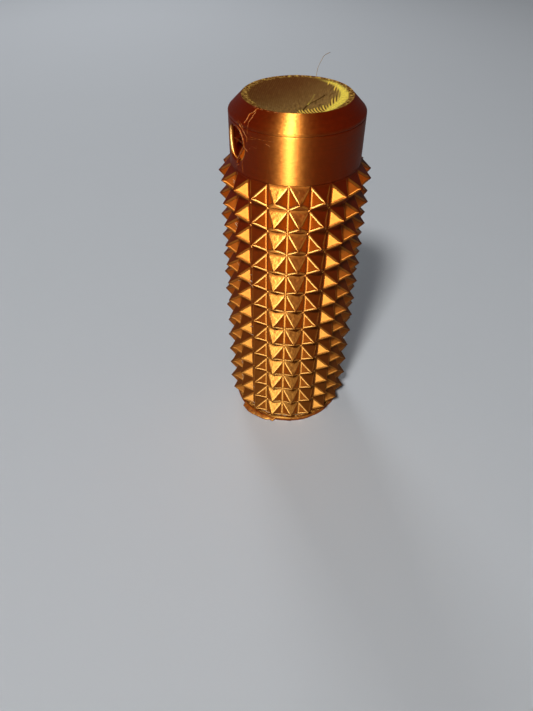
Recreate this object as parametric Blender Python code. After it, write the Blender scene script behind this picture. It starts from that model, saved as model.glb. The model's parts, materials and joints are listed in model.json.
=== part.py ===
"""Texture roller: a studded sleeve clamped on a core drum, which turns on an axle held by a grip collar.

Lengths are metres and +Z is up. The roller stands on its base flange at z = 0, with its axle along Z.
The hole across the grip collar runs along X.
"""

from math import asin, cos, pi, radians, sin

import bmesh
import bpy

# Stud field
COLUMN_COUNT = 20
ROW_COUNT = 13
ROW_PITCH = 0.00605
STUD_HEIGHT = 0.0031
ROW_STRIP = 0.00055
COLUMN_STRIP = 0.00045
COLUMN_PHASE = radians(-7.1)

# Texture sleeve
SLEEVE_ROOT_RADIUS = 0.0160
SLEEVE_WALL = 0.0024
SLEEVE_LEDGE = 0.0010

# Core drum
DRUM_BORE_GAP = 0.0008
DRUM_WELL_DEPTH = 0.0040
DRUM_CHAMFER = 0.0005

# Base flange
FLANGE_OVERHANG = 0.0008
FLANGE_THICKNESS = 0.0015
FLANGE_BOSS_HEIGHT = 0.0035
FLANGE_SCREW_COUNT = 3
FLANGE_SCREW_PHASE = radians(30)
FLANGE_SCREW_SEAT = 0.0032

# Flange screws
FLANGE_SCREW_RADIUS = 0.0010
FLANGE_SCREW_HEAD_OVERHANG = 0.0009
FLANGE_SCREW_HEAD_HEIGHT = 0.0020
FLANGE_SCREW_LENGTH = 0.0080
FLANGE_SCREW_SOCKET = 0.0009

# Bushes
BUSH_WALL = 0.0009
BUSH_LENGTH = 0.0080
BUSH_FLANGE_WIDTH = 0.0010
BUSH_FLANGE_THICKNESS = 0.0010

# Axle and its cross pin
AXLE_RADIUS = 0.0030
AXLE_HEAD_OVERHANG = 0.0030
AXLE_HEAD_THICKNESS = 0.0016
PIN_RADIUS = 0.00125
PIN_INSET = 0.0008
PIN_CHAMFER = 0.0003

# Washers
THRUST_WASHER_THICKNESS = 0.0010
RETAINING_WASHER_THICKNESS = 0.0010

# Retaining screw
RETAINING_SCREW_RADIUS = 0.0015
RETAINING_SCREW_HEAD_OVERHANG = 0.00125
RETAINING_SCREW_HEAD_HEIGHT = 0.0030
RETAINING_SCREW_LENGTH = 0.0080
RETAINING_SCREW_SOCKET = 0.00125

# Grip collar
COLLAR_WALL = 0.0014
COLLAR_FLOOR = 0.0016
COLLAR_HEAD_RECESS = 0.0022
SPIGOT_LENGTH = 0.0119
SPIGOT_CHAMFER = 0.0006
CROSS_HOLE_RADIUS = 0.00385
CROSS_HOLE_SILL = 0.00069
CROSS_HOLE_LINTEL = 0.00041

# Dished cap
CAP_LIP_HEIGHT = 0.0007
CAP_CHAMFER = 0.00314
CAP_PLUG_DEPTH = 0.0030
CAP_PLUG_WALL = 0.0016
DISH_DEPTH = 0.0018

# Clearances
SEAT_GAP = 0.0003
RUNNING_GAP = 0.0003
SPIGOT_GAP = 0.0006
CUT_OVERRUN = 0.0010

# Facets
SHOWN_SEGMENTS = 80
INNER_SEGMENTS = 40
SMALL_SEGMENTS = 24
DISH_STEPS = 6
MERGE_DISTANCE = 0.000001
SHARP_ANGLE = radians(35)
SOCKET_SIDES = 6

# Levels of the barrel, from the surface it stands on
DRUM_BOTTOM = FLANGE_THICKNESS + FLANGE_BOSS_HEIGHT + SEAT_GAP
SLEEVE_BOTTOM = FLANGE_THICKNESS + SEAT_GAP
SLEEVE_LENGTH = ROW_COUNT * ROW_PITCH
SLEEVE_TOP = SLEEVE_BOTTOM + SLEEVE_LENGTH

# The collar is as long as its floor and the hole over it need
CROSS_HOLE_HEIGHT = COLLAR_FLOOR + CROSS_HOLE_SILL + CROSS_HOLE_RADIUS
COLLAR_LENGTH = CROSS_HOLE_HEIGHT + CROSS_HOLE_RADIUS + CROSS_HOLE_LINTEL

# Levels of the grip, and of what stacks under its spigot
COLLAR_BOTTOM = SLEEVE_TOP + RUNNING_GAP
SPIGOT_END = COLLAR_BOTTOM - SPIGOT_LENGTH
THRUST_WASHER_BOTTOM = SPIGOT_END - SEAT_GAP - THRUST_WASHER_THICKNESS
UPPER_BUSH_SHOULDER = THRUST_WASHER_BOTTOM - RUNNING_GAP - BUSH_FLANGE_THICKNESS
DRUM_TOP = UPPER_BUSH_SHOULDER - SEAT_GAP
DRUM_LENGTH = DRUM_TOP - DRUM_BOTTOM
LOWER_BUSH_SHOULDER = DRUM_BOTTOM + DRUM_WELL_DEPTH - SEAT_GAP
LOWER_BUSH_FACE = LOWER_BUSH_SHOULDER - BUSH_FLANGE_THICKNESS
RETAINING_WASHER_BOTTOM = LOWER_BUSH_FACE - RUNNING_GAP - RETAINING_WASHER_THICKNESS
RETAINING_SCREW_SHOULDER = RETAINING_WASHER_BOTTOM - SEAT_GAP
AXLE_END = RETAINING_WASHER_BOTTOM + RETAINING_WASHER_THICKNESS + SEAT_GAP
AXLE_HEAD_SEAT = COLLAR_BOTTOM + COLLAR_FLOOR - COLLAR_HEAD_RECESS
PIN_LEVEL = (SPIGOT_END + AXLE_HEAD_SEAT) / 2
COLLAR_TOP = COLLAR_BOTTOM + COLLAR_LENGTH
CAP_BOTTOM = COLLAR_TOP + SEAT_GAP

# Radii that follow their neighbours
SLEEVE_BORE_RADIUS = SLEEVE_ROOT_RADIUS - SLEEVE_WALL
SLEEVE_NECK_RADIUS = SLEEVE_BORE_RADIUS - SLEEVE_LEDGE
DRUM_RADIUS = SLEEVE_BORE_RADIUS - SEAT_GAP
FLANGE_RADIUS = SLEEVE_ROOT_RADIUS + FLANGE_OVERHANG
COLLAR_RADIUS = SLEEVE_ROOT_RADIUS
AXLE_HEAD_RADIUS = AXLE_RADIUS + AXLE_HEAD_OVERHANG
BUSH_BORE_RADIUS = AXLE_RADIUS + RUNNING_GAP
BUSH_RADIUS = BUSH_BORE_RADIUS + BUSH_WALL
BUSH_FLANGE_RADIUS = BUSH_RADIUS + BUSH_FLANGE_WIDTH
BUSH_SEAT_RADIUS = BUSH_RADIUS + SEAT_GAP
DRUM_BORE_RADIUS = AXLE_RADIUS + DRUM_BORE_GAP
WELL_RADIUS = BUSH_FLANGE_RADIUS + SEAT_GAP
SPIGOT_RADIUS = SLEEVE_NECK_RADIUS - SPIGOT_GAP
COLLAR_INNER_RADIUS = COLLAR_RADIUS - COLLAR_WALL
SCREW_CIRCLE_RADIUS = (WELL_RADIUS + DRUM_RADIUS) / 2
FLANGE_SCREW_HEAD_RADIUS = FLANGE_SCREW_RADIUS + FLANGE_SCREW_HEAD_OVERHANG
RETAINING_SCREW_HEAD_RADIUS = RETAINING_SCREW_RADIUS + RETAINING_SCREW_HEAD_OVERHANG
RIM_RADIUS = COLLAR_RADIUS - CAP_CHAMFER

# Finishes: colour, roughness, metallic
COPPER_SILK = ((0.62, 0.27, 0.05), 0.34, 0.55)
CORE_PLASTIC = ((0.05, 0.05, 0.05), 0.60, 0.0)
STEEL = ((0.56, 0.57, 0.58), 0.32, 1.0)
BRONZE = ((0.52, 0.36, 0.16), 0.40, 1.0)


def clear_scene():
    for obj in list(bpy.data.objects):
        bpy.data.objects.remove(obj)


def finish_material(name, finish):
    """A Principled material from a finish."""
    colour, roughness, metallic = finish
    material = bpy.data.materials.new(name)
    material.use_nodes = True
    shader = material.node_tree.nodes["Principled BSDF"]
    shader.inputs["Base Color"].default_value = (*colour, 1)
    shader.inputs["Roughness"].default_value = roughness
    shader.inputs["Metallic"].default_value = metallic
    material.diffuse_color = (*colour, 1)
    return material


def axis_empty(name, level):
    """An empty on the roller's axis, which the pieces of one body hang on."""
    empty = bpy.data.objects.new(name, None)
    empty.location = (0, 0, level)
    bpy.context.scene.collection.objects.link(empty)
    return empty


def place(name, shape, parent, level, finish=None):
    """Makes an object of a shape and sets it on the axis at a level measured from the standing surface."""
    mesh = bpy.data.meshes.new(name)
    shape.to_mesh(mesh)
    shape.free()
    mesh.shade_smooth()
    mesh.set_sharp_from_angle(angle=SHARP_ANGLE)
    obj = bpy.data.objects.new(name, mesh)
    obj.parent = parent
    obj.location = (0, 0, level - parent.location.z)
    bpy.context.scene.collection.objects.link(obj)
    if finish:
        mesh.materials.append(finish_material(name + "_finish", finish))
    return obj


def turned(profile, segments):
    """A solid turned about Z from points of radius and height.

    A profile that starts and ends on the axis stays open, and any other is joined end to start.
    """
    shape = bmesh.new()
    points = [shape.verts.new((radius, 0, height)) for radius, height in profile]
    edges = [shape.edges.new(pair) for pair in zip(points, points[1:])]
    if profile[0][0] > 0:
        edges.append(shape.edges.new((points[-1], points[0])))
    bmesh.ops.spin(
        shape, geom=points + edges, cent=(0, 0, 0), axis=(0, 0, 1), angle=2 * pi, steps=segments
    )
    bmesh.ops.remove_doubles(shape, verts=shape.verts, dist=MERGE_DISTANCE)
    bmesh.ops.recalc_face_normals(shape, faces=shape.faces)
    return shape


def rod(radius, start, end, segments):
    """A plain round bar between two heights."""
    return turned([(0, start), (radius, start), (radius, end), (0, end)], segments)


def ring(inner_radius, outer_radius, thickness, segments):
    """A flat washer standing on height zero."""
    return turned(
        [
            (outer_radius, 0),
            (outer_radius, thickness),
            (inner_radius, thickness),
            (inner_radius, 0),
        ],
        segments,
    )


def cut(target, cutter):
    """Takes the cutter out of the target and hides it."""
    cutter.hide_render = True
    cutter.display_type = "WIRE"
    modifier = target.modifiers.new(cutter.name, "BOOLEAN")
    modifier.operation = "DIFFERENCE"
    modifier.object = cutter


def stud_field():
    """The studded skin as a closed bar: one quad for each stud base, poked out to its tip."""
    column_step = 2 * pi / COLUMN_COUNT
    half_stud = (column_step - COLUMN_STRIP / SLEEVE_ROOT_RADIUS) / 2
    tip_rise = STUD_HEIGHT + SLEEVE_ROOT_RADIUS * (1 - cos(half_stud))
    angles = []
    for column in range(COLUMN_COUNT):
        middle = COLUMN_PHASE + column * column_step
        angles += [middle - half_stud, middle + half_stud]
    heights = [0]
    for row in range(ROW_COUNT):
        heights += [row * ROW_PITCH + ROW_STRIP / 2, (row + 1) * ROW_PITCH - ROW_STRIP / 2]
    heights.append(SLEEVE_LENGTH)

    shape = bmesh.new()
    rings = []
    for height in heights:
        corners = [(SLEEVE_ROOT_RADIUS * cos(a), SLEEVE_ROOT_RADIUS * sin(a), height) for a in angles]
        rings.append([shape.verts.new(corner) for corner in corners])
    stud_bases = []
    for level, (lower, upper) in enumerate(zip(rings, rings[1:])):
        for side in range(len(angles)):
            after = (side + 1) % len(angles)
            face = shape.faces.new((lower[side], lower[after], upper[after], upper[side]))
            if level % 2 == 1 and side % 2 == 0:
                stud_bases.append(face)
    shape.faces.new(reversed(rings[0]))
    shape.faces.new(rings[-1])
    shape.normal_update()
    bmesh.ops.poke(shape, faces=stud_bases, offset=tip_rise, center_mode="MEAN")
    return shape


def texture_sleeve(barrel):
    """The studded sleeve, whose bore narrows above the drum so that the flange clamps it there."""
    sleeve = place("texture_sleeve", stud_field(), barrel, SLEEVE_BOTTOM, COPPER_SILK)
    ledge = DRUM_TOP + SEAT_GAP - SLEEVE_BOTTOM
    bore = [
        (0, -CUT_OVERRUN),
        (SLEEVE_BORE_RADIUS, -CUT_OVERRUN),
        (SLEEVE_BORE_RADIUS, ledge),
        (SLEEVE_NECK_RADIUS, ledge),
        (SLEEVE_NECK_RADIUS, SLEEVE_LENGTH + CUT_OVERRUN),
        (0, SLEEVE_LENGTH + CUT_OVERRUN),
    ]
    cut(sleeve, place("sleeve_bore_cutter", turned(bore, INNER_SEGMENTS), barrel, SLEEVE_BOTTOM))


def screw_angles():
    """The directions of the flange screws round the axis."""
    return [FLANGE_SCREW_PHASE + 2 * pi * number / FLANGE_SCREW_COUNT for number in range(FLANGE_SCREW_COUNT)]


def on_screw_circle(obj, angle):
    """Moves an object from the axis out to the screw circle."""
    obj.location.x = SCREW_CIRCLE_RADIUS * cos(angle)
    obj.location.y = SCREW_CIRCLE_RADIUS * sin(angle)
    return obj


def core_drum(barrel):
    """The drum that carries the sleeve, with a bush seat at each end and a well for the lower one."""
    seat_depth = BUSH_LENGTH + SEAT_GAP
    profile = [
        (DRUM_RADIUS - DRUM_CHAMFER, 0),
        (DRUM_RADIUS, DRUM_CHAMFER),
        (DRUM_RADIUS, DRUM_LENGTH - DRUM_CHAMFER),
        (DRUM_RADIUS - DRUM_CHAMFER, DRUM_LENGTH),
        (BUSH_SEAT_RADIUS, DRUM_LENGTH),
        (BUSH_SEAT_RADIUS, DRUM_LENGTH - seat_depth),
        (DRUM_BORE_RADIUS, DRUM_LENGTH - seat_depth),
        (DRUM_BORE_RADIUS, DRUM_WELL_DEPTH + seat_depth),
        (BUSH_SEAT_RADIUS, DRUM_WELL_DEPTH + seat_depth),
        (BUSH_SEAT_RADIUS, DRUM_WELL_DEPTH),
        (WELL_RADIUS, DRUM_WELL_DEPTH),
        (WELL_RADIUS, 0),
    ]
    drum = place("core_drum", turned(profile, INNER_SEGMENTS), barrel, DRUM_BOTTOM, CORE_PLASTIC)
    hole_end = FLANGE_SCREW_SEAT + FLANGE_SCREW_LENGTH
    for number, angle in enumerate(screw_angles(), start=1):
        hole = rod(
            FLANGE_SCREW_RADIUS + SEAT_GAP, -CUT_OVERRUN, hole_end - DRUM_BOTTOM, SMALL_SEGMENTS
        )
        cutter = place(f"drum_screw_cutter_{number}", hole, barrel, DRUM_BOTTOM)
        cut(drum, on_screw_circle(cutter, angle))


def base_flange(barrel):
    """The end flange, which shows as the ring under the studs, with its boss inside the sleeve."""
    height = FLANGE_THICKNESS + FLANGE_BOSS_HEIGHT
    profile = [
        (FLANGE_RADIUS, 0),
        (FLANGE_RADIUS, FLANGE_THICKNESS),
        (DRUM_RADIUS, FLANGE_THICKNESS),
        (DRUM_RADIUS, height),
        (WELL_RADIUS, height),
        (WELL_RADIUS, 0),
    ]
    flange = place("base_flange", turned(profile, SHOWN_SEGMENTS), barrel, 0, COPPER_SILK)
    head_hole_radius = FLANGE_SCREW_HEAD_RADIUS + SEAT_GAP
    shank_hole_radius = FLANGE_SCREW_RADIUS + SEAT_GAP
    hole = [
        (0, -CUT_OVERRUN),
        (head_hole_radius, -CUT_OVERRUN),
        (head_hole_radius, FLANGE_SCREW_SEAT),
        (shank_hole_radius, FLANGE_SCREW_SEAT),
        (shank_hole_radius, height + CUT_OVERRUN),
        (0, height + CUT_OVERRUN),
    ]
    for number, angle in enumerate(screw_angles(), start=1):
        cutter = place(f"flange_screw_cutter_{number}", turned(hole, SMALL_SEGMENTS), barrel, 0)
        cut(flange, on_screw_circle(cutter, angle))


def socket_screw(name, parent, shoulder, radius, length, head_radius, head_height, socket_radius):
    """A cap screw that points up: its head hangs below the shoulder level, with a hex socket in it.

    Returns the screw and its socket's cutter.
    """
    profile = [(0, -head_height), (head_radius, -head_height), (head_radius, 0), (radius, 0)]
    profile += [(radius, length), (0, length)]
    screw = place(name, turned(profile, SMALL_SEGMENTS), parent, shoulder, STEEL)
    socket = rod(socket_radius, -head_height - CUT_OVERRUN, -head_height / 2, SOCKET_SIDES)
    cutter = place(name + "_socket_cutter", socket, parent, shoulder)
    cut(screw, cutter)
    return screw, cutter


def flange_screws(barrel):
    """The screws that pull the flange up against the sleeve and the drum."""
    for number, angle in enumerate(screw_angles(), start=1):
        pair = socket_screw(
            f"flange_screw_{number}",
            barrel,
            FLANGE_SCREW_SEAT - SEAT_GAP,
            FLANGE_SCREW_RADIUS,
            FLANGE_SCREW_LENGTH,
            FLANGE_SCREW_HEAD_RADIUS,
            FLANGE_SCREW_HEAD_HEIGHT,
            FLANGE_SCREW_SOCKET,
        )
        for obj in pair:
            on_screw_circle(obj, angle)


def bush(name, barrel, shoulder, direction):
    """A flanged bush whose flange starts at the shoulder level and whose tube goes the other way.

    direction is 1 where the flange lies above the shoulder, and -1 where it lies below.
    """
    flange_face = direction * BUSH_FLANGE_THICKNESS
    tube_end = -direction * BUSH_LENGTH
    profile = [
        (BUSH_BORE_RADIUS, flange_face),
        (BUSH_FLANGE_RADIUS, flange_face),
        (BUSH_FLANGE_RADIUS, 0),
        (BUSH_RADIUS, 0),
        (BUSH_RADIUS, tube_end),
        (BUSH_BORE_RADIUS, tube_end),
    ]
    place(name, turned(profile, INNER_SEGMENTS), barrel, shoulder, BRONZE)


def grip_collar(grip):
    """The smooth hollow collar, its floor, and the spigot that runs inside the sleeve's neck."""
    head_recess_radius = AXLE_HEAD_RADIUS + SEAT_GAP
    axle_hole_radius = AXLE_RADIUS + SEAT_GAP
    profile = [
        (COLLAR_RADIUS, 0),
        (COLLAR_RADIUS, COLLAR_LENGTH),
        (COLLAR_INNER_RADIUS, COLLAR_LENGTH),
        (COLLAR_INNER_RADIUS, COLLAR_FLOOR),
        (head_recess_radius, COLLAR_FLOOR),
        (head_recess_radius, COLLAR_FLOOR - COLLAR_HEAD_RECESS),
        (axle_hole_radius, COLLAR_FLOOR - COLLAR_HEAD_RECESS),
        (axle_hole_radius, -SPIGOT_LENGTH),
        (SPIGOT_RADIUS - SPIGOT_CHAMFER, -SPIGOT_LENGTH),
        (SPIGOT_RADIUS, SPIGOT_CHAMFER - SPIGOT_LENGTH),
        (SPIGOT_RADIUS, 0),
    ]
    collar = place("grip_collar", turned(profile, SHOWN_SEGMENTS), grip, COLLAR_BOTTOM, COPPER_SILK)
    cut(collar, cross_hole_cutter("collar_cross_hole_cutter", grip))
    pin_hole = rod(
        PIN_RADIUS + SEAT_GAP, -SPIGOT_RADIUS - CUT_OVERRUN, SPIGOT_RADIUS + CUT_OVERRUN, SMALL_SEGMENTS
    )
    pin_cutter = place("collar_pin_cutter", pin_hole, grip, PIN_LEVEL)
    pin_cutter.rotation_euler.x = pi / 2
    cut(collar, pin_cutter)


def cross_hole_cutter(name, grip):
    """The bar along X that opens the hole through both walls of the collar."""
    reach = COLLAR_RADIUS + CUT_OVERRUN
    bar = rod(CROSS_HOLE_RADIUS, -reach, reach, INNER_SEGMENTS)
    cutter = place(name, bar, grip, COLLAR_BOTTOM + CROSS_HOLE_HEIGHT)
    cutter.rotation_euler.y = pi / 2
    return cutter


def dish_points(rim_height):
    """Points of a shallow spherical dish, from its middle out to its rim."""
    sphere_radius = (RIM_RADIUS**2 + DISH_DEPTH**2) / (2 * DISH_DEPTH)
    rim_angle = asin(RIM_RADIUS / sphere_radius)
    points = []
    for step in range(DISH_STEPS + 1):
        angle = rim_angle * step / DISH_STEPS
        rise = sphere_radius * (1 - cos(angle))
        points.append((sphere_radius * sin(angle), rim_height - DISH_DEPTH + rise))
    return points


def dished_cap(grip):
    """The chamfered cap with its thumb dish, and the plug ring that seats it in the collar."""
    plug_radius = COLLAR_INNER_RADIUS - SEAT_GAP
    profile = dish_points(CAP_LIP_HEIGHT + CAP_CHAMFER)
    profile += [
        (COLLAR_RADIUS, CAP_LIP_HEIGHT),
        (COLLAR_RADIUS, 0),
        (plug_radius, 0),
        (plug_radius, -CAP_PLUG_DEPTH),
        (plug_radius - CAP_PLUG_WALL, -CAP_PLUG_DEPTH),
        (plug_radius - CAP_PLUG_WALL, 0),
        (0, 0),
    ]
    cap = place("dished_cap", turned(profile, SHOWN_SEGMENTS), grip, CAP_BOTTOM, COPPER_SILK)
    cut(cap, cross_hole_cutter("cap_cross_hole_cutter", grip))


def axle(grip):
    """The axle, hung by its head in the collar, tapped at its lower end and drilled for the pin."""
    head_bottom = AXLE_HEAD_SEAT + SEAT_GAP
    length = head_bottom - AXLE_END
    tapped_radius = RETAINING_SCREW_RADIUS + SEAT_GAP
    profile = [
        (0, RETAINING_SCREW_LENGTH),
        (tapped_radius, RETAINING_SCREW_LENGTH),
        (tapped_radius, 0),
        (AXLE_RADIUS, 0),
        (AXLE_RADIUS, length),
        (AXLE_HEAD_RADIUS, length),
        (AXLE_HEAD_RADIUS, length + AXLE_HEAD_THICKNESS),
        (0, length + AXLE_HEAD_THICKNESS),
    ]
    bar = place("axle", turned(profile, INNER_SEGMENTS), grip, AXLE_END, STEEL)
    pin_hole = rod(
        PIN_RADIUS + SEAT_GAP, -AXLE_RADIUS - CUT_OVERRUN, AXLE_RADIUS + CUT_OVERRUN, SMALL_SEGMENTS
    )
    cutter = place("axle_pin_cutter", pin_hole, grip, PIN_LEVEL)
    cutter.rotation_euler.x = pi / 2
    cut(bar, cutter)


def axle_cross_pin(grip):
    """The pin across the spigot, which keeps the axle from turning in the collar."""
    reach = SPIGOT_RADIUS - PIN_INSET
    profile = [
        (0, -reach),
        (PIN_RADIUS - PIN_CHAMFER, -reach),
        (PIN_RADIUS, PIN_CHAMFER - reach),
        (PIN_RADIUS, reach - PIN_CHAMFER),
        (PIN_RADIUS - PIN_CHAMFER, reach),
        (0, reach),
    ]
    pin = place("axle_cross_pin", turned(profile, SMALL_SEGMENTS), grip, PIN_LEVEL, STEEL)
    pin.rotation_euler.x = pi / 2


def thrust_washer(grip):
    """The washer that the spigot bears on, as wide as the upper bush's flange."""
    shape = ring(AXLE_RADIUS + SEAT_GAP, BUSH_FLANGE_RADIUS, THRUST_WASHER_THICKNESS, INNER_SEGMENTS)
    place("thrust_washer", shape, grip, THRUST_WASHER_BOTTOM, BRONZE)


def retaining_washer(grip):
    """The washer on the axle's end, which holds the barrel on by the lower bush's flange."""
    bore = RETAINING_SCREW_RADIUS + SEAT_GAP
    shape = ring(bore, BUSH_FLANGE_RADIUS, RETAINING_WASHER_THICKNESS, INNER_SEGMENTS)
    place("retaining_washer", shape, grip, RETAINING_WASHER_BOTTOM, STEEL)


def retaining_screw(grip):
    """The screw up into the axle's end."""
    socket_screw(
        "retaining_screw",
        grip,
        RETAINING_SCREW_SHOULDER,
        RETAINING_SCREW_RADIUS,
        RETAINING_SCREW_LENGTH,
        RETAINING_SCREW_HEAD_RADIUS,
        RETAINING_SCREW_HEAD_HEIGHT,
        RETAINING_SCREW_SOCKET,
    )


def main():
    clear_scene()
    barrel = axis_empty("barrel_axis", 0)
    texture_sleeve(barrel)
    core_drum(barrel)
    base_flange(barrel)
    flange_screws(barrel)
    bush("upper_bush", barrel, UPPER_BUSH_SHOULDER, 1)
    bush("lower_bush", barrel, LOWER_BUSH_SHOULDER, -1)

    grip = axis_empty("grip_axis", COLLAR_BOTTOM)
    grip_collar(grip)
    dished_cap(grip)
    axle(grip)
    axle_cross_pin(grip)
    thrust_washer(grip)
    retaining_washer(grip)
    retaining_screw(grip)


main()
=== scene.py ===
"""Texture roller, dressed: the printed copper skin, collar, cap and first layer round its works.

Lengths are metres. The roller stands at z = 0 with its axle along Z, and the hole across its collar
runs along X.
"""

import json
from functools import cache
from math import cos, pi, radians, sin

import bmesh
import bpy
import numpy as np
from bpy.props import FloatProperty, FloatVectorProperty, IntProperty, PointerProperty
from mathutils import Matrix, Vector


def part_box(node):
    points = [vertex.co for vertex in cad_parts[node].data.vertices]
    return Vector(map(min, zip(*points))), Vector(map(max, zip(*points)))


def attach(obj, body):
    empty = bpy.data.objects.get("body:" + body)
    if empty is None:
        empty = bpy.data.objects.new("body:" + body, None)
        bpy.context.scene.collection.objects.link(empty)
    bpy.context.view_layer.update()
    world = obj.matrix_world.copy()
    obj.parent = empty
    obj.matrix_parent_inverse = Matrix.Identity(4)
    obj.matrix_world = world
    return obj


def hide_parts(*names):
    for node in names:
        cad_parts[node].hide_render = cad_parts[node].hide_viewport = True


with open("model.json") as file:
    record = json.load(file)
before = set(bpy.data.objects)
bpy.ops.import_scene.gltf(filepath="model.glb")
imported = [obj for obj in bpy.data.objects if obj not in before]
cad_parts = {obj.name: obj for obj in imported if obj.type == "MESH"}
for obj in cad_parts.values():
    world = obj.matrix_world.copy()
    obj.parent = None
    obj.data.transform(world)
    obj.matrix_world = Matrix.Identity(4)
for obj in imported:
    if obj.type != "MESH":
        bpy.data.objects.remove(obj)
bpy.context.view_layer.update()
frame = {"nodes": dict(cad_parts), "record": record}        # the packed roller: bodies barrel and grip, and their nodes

bl_info = {
    "name": "Texture roller",
    "version": (1, 0, 0),
    "blender": (4, 5, 0),
    "location": "View3D > Sidebar > Roller",
    "description": "Dresses the packed roller with its printed skin, collar, cap, hairs and stage",
    "category": "Add Mesh",
}

WELD_DISTANCE = 1e-7

# The stud field, as the barrel carries it
COLUMN_COUNT = 20
ROW_COUNT = 13
COLUMN_STEP = 2 * pi / COLUMN_COUNT
COLUMN_PHASE = radians(-7.1)
ROW_STRIP = 0.00055
COLUMN_STRIP = 0.00045

# How far the shading turns from a stud's outward direction: on its side faces, at the foot of its
# lower corners, in the band beside a ridge, on the ridge, and at the corners of its cell
SIDE_TURN = radians(54)
BEAD_TURN = radians(75)
BAND_TURN = radians(36)
RIDGE_TURN = radians(10)
CORNER_TURN = radians(24)
# The upper and lower faces are shaded as if they were lifted and skewed by these
TOP_LIFT = radians(27)
TOP_SKEW = radians(4)

# The tones that the copper wall's material reads at each point, with smooth steps between them.
# The grooves' tone is a painted glow of light thrown between neighbouring studs, the inside's a
# painted glow, and the lip's, the ridges' and the dots' tones are painted highlight
LIP_HIGHLIGHT_TONE = -1.0
RIDGE_HIGHLIGHT_TONE = -0.5
PLAIN_TONE = 0.0
GROOVE_GLOW_TONE = 1.0
INSIDE_GLOW_TONE = 2.0
DOT_HIGHLIGHT_TONE = -0.15
# At a stud's corner, from the flat of its side face over the ridge to its upper or lower face:
# positive for the grooves' painted glow on the side face, negative for the painted highlight over
# the ridge
CORNER_TONES = [1, 0.9, -0.25, -0.4, 0]
# The level from which the copper turns more golden towards the foot, by painted light bounced up
# from the floor
FLOOR_LIGHT_FROM = 0.085

# The gap at each seat, and the finer one where a gap shows
SEAT_GAP = 0.0003
SHOWN_GAP = 0.0001
# Sizes of the parts that lie inside, and walls that follow them
AXLE_RADIUS = 0.0030
AXLE_HEAD_THICKNESS = 0.0016
SLEEVE_LEDGE = 0.0010
SPIGOT_INSET = 0.0016
SPIGOT_CHAMFER = 0.0006
COLLAR_WALL = 0.0014
PLUG_WALL = 0.0016
CAP_BAND = 0.0007
# How far the dish's edge lies under the rim, and how far the print frays it
DISH_DROP = 0.00008
DISH_FRAY = 0.00006

# The wall's patch round each end of the cross hole: half its width, and its divisions
PATCH_HALF = radians(28)
PATCH_COLUMNS = 20
PATCH_ROWS = 16

# The dish: its marks, the point that its printed lines bow round, the way that it turns olive with
# painted reflection, and the way that its finest strokes run
DISH_MARKS = ("crescent", "comb", "rim", "dark_arc")
LINE_CENTRE = (0.0419, -0.0272)
OLIVE_WAY = (0.259, -0.966, 0)
STROKE_WAY = (0.54, 0.84, 0)
# The crescent's painted highlight: azimuth in degrees, then the distances in millimetres where
# comb and gold begin and the gold ends
CRESCENT = np.array([
    (-125, 7.0, 13.0, 13.1), (-110, 6.2, 12.9, 13.0), (-92, 6.0, 12.0, 12.6), (-80, 6.0, 9.9, 11.8),
    (-68, 6.2, 8.8, 11.0), (-50, 6.6, 8.8, 10.9), (-30, 7.3, 9.4, 11.3), (-10, 8.9, 10.4, 11.6),
    (10, 9.7, 11.2, 11.9), (30, 10.8, 11.6, 11.9), (42, 11.6, 11.9, 12.0),
])
# Azimuth in degrees and distance in millimetres where the rough rim begins
RIM_BAND = np.array([
    (-180, 10.7), (-160, 11.7), (-140, 12.3), (-118, 11.9), (-92, 11.7), (-60, 10.9), (-30, 11.2),
    (0, 12.0), (40, 12.3), (70, 12.2), (110, 11.9), (150, 11.4), (180, 10.7),
])
# A dark arc, and the painted highlight streak beside it, as corners in millimetres
DARK_ARC = np.array([
    (-4.0, -9.1), (-1.9, -6.1), (0.0, -4.0), (1.8, -2.6), (3.6, -1.9), (5.3, -1.2), (6.9, -0.5),
]) / 1000
HIGHLIGHT_STREAK = np.array([(0.9, -3.1), (1.7, -2.3), (3.1, -0.9), (4.3, 0.3), (5.3, 1.4)]) / 1000

# Strings on the grip: radius in millimetres, then azimuth in degrees and level in millimetres
GRIP_STRANDS = [
    (0.13, [(-160.8, 95.0), (-162.3, 94.4), (-165.4, 93.9), (-165.0, 93.3), (-165.3, 92.8),
            (-165.6, 92.4)]),
    (0.18, [(-173.4, 91.0), (-170.6, 90.6), (-168.7, 89.9), (-166.9, 89.1), (-165.8, 88.1),
            (-165.9, 87.2), (-168.1, 86.1), (-171.9, 84.8), (-174.6, 83.6), (-176.6, 82.5)]),
    (0.10, [(-166.5, 87.6), (-163.5, 87.0), (-161.2, 86.5)]),
    (0.10, [(-164.7, 87.1), (-167.4, 86.2), (-170.4, 85.0)]),
    (0.20, [(-165.5, 95.1), (-164.0, 95.25), (-162.6, 95.2)]),
    (0.13, [(-160.8, 95.0), (-159.6, 95.15), (-158.7, 95.1)]),
    (0.11, [(-157.3, 95.1), (-155.5, 95.2), (-153.7, 95.1)]),
    (0.10, [(-149.1, 95.1), (-147.0, 95.15), (-145.3, 95.1)]),
    (0.12, [(-141.7, 95.1), (-139.0, 95.2), (-136.8, 95.1)]),
    (0.07, [(-181.6, 90.5), (-175.8, 91.1), (-172.0, 90.7)]),
]
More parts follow.
